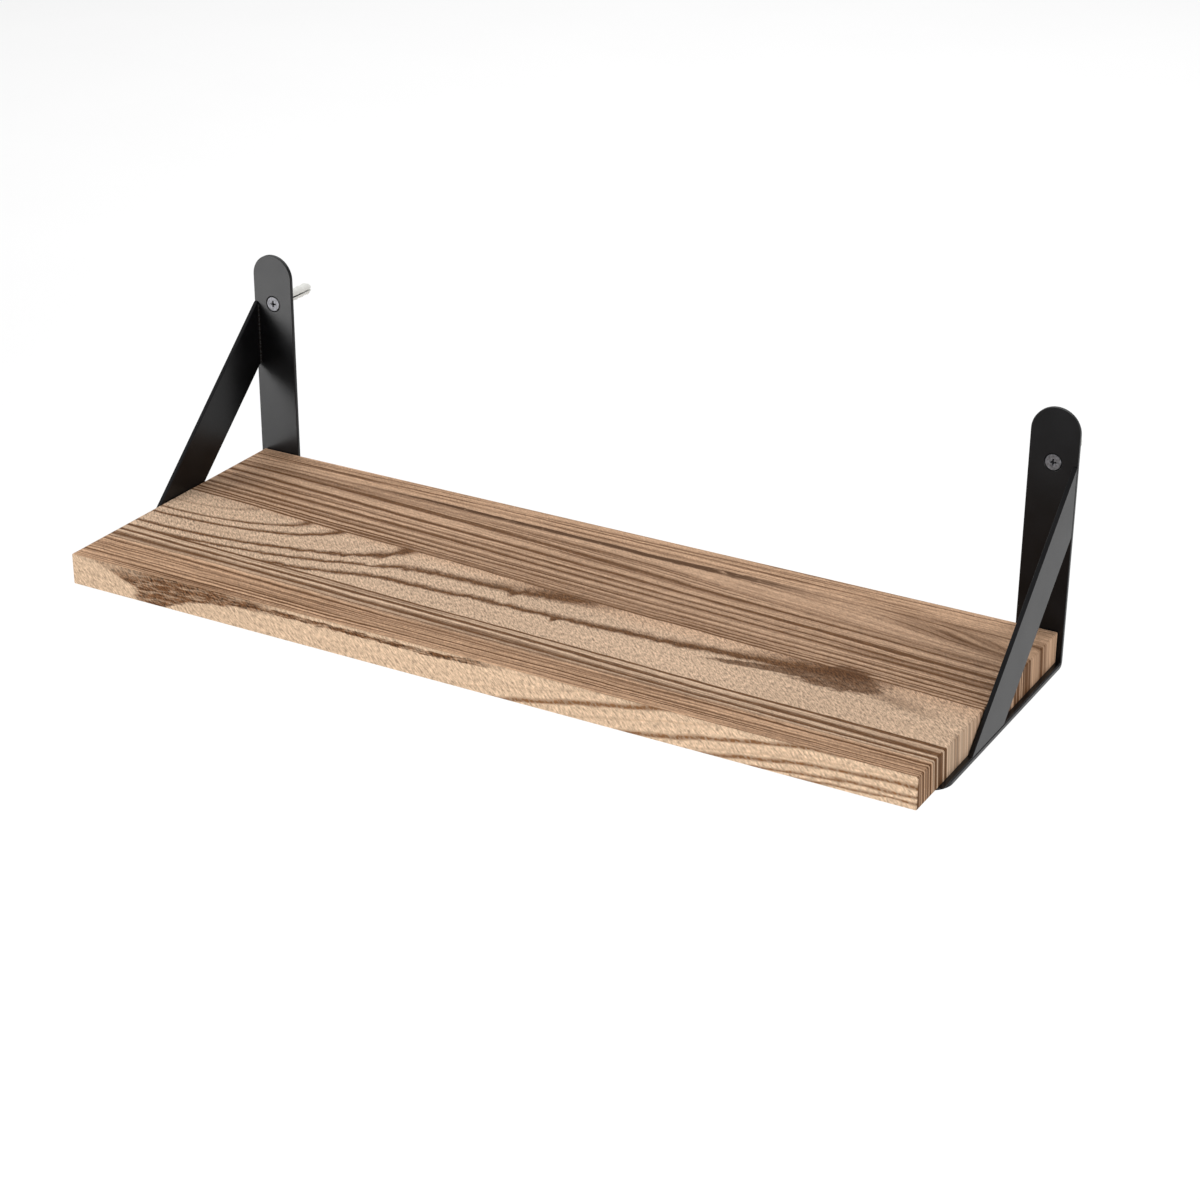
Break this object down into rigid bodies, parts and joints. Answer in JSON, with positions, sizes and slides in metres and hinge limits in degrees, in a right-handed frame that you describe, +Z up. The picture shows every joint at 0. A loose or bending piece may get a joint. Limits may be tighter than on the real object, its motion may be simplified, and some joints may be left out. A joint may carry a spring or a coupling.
{
  "type": "wall shelf",
  "caption": "Wooden wall shelf board resting on triangular black strip-steel brackets that screw to the wall.",
  "frame": {"origin": "on the wall's face, midway between the two wall screws and level with them", "axes": "+X to the right along the wall and the board's length, +Y into the wall, +Z up"},
  "size_m": [0.4246, 0.1796, 0.1214],
  "materials": {
    "board_wood": "natural, open-pored, matt",
    "powder_coated_steel": "satin black powder coat",
    "zinc_plated_steel": "bright zinc plate",
    "plug_nylon": "moulded, matt"
  },
  "bodies": {
    "root": {"board": "board_wood", "bracket_strip_left": "powder_coated_steel", "brace_left": "powder_coated_steel", "bracket_strip_right": "powder_coated_steel", "brace_right": "powder_coated_steel", "wall_screw_left": "zinc_plated_steel", "wall_plug_left": "plug_nylon", "board_screw_left_back": "zinc_plated_steel", "board_screw_left_front": "zinc_plated_steel", "wall_screw_right": "zinc_plated_steel", "wall_plug_right": "plug_nylon", "board_screw_right_back": "zinc_plated_steel", "board_screw_right_front": "zinc_plated_steel"}
  },
  "joints": []
}
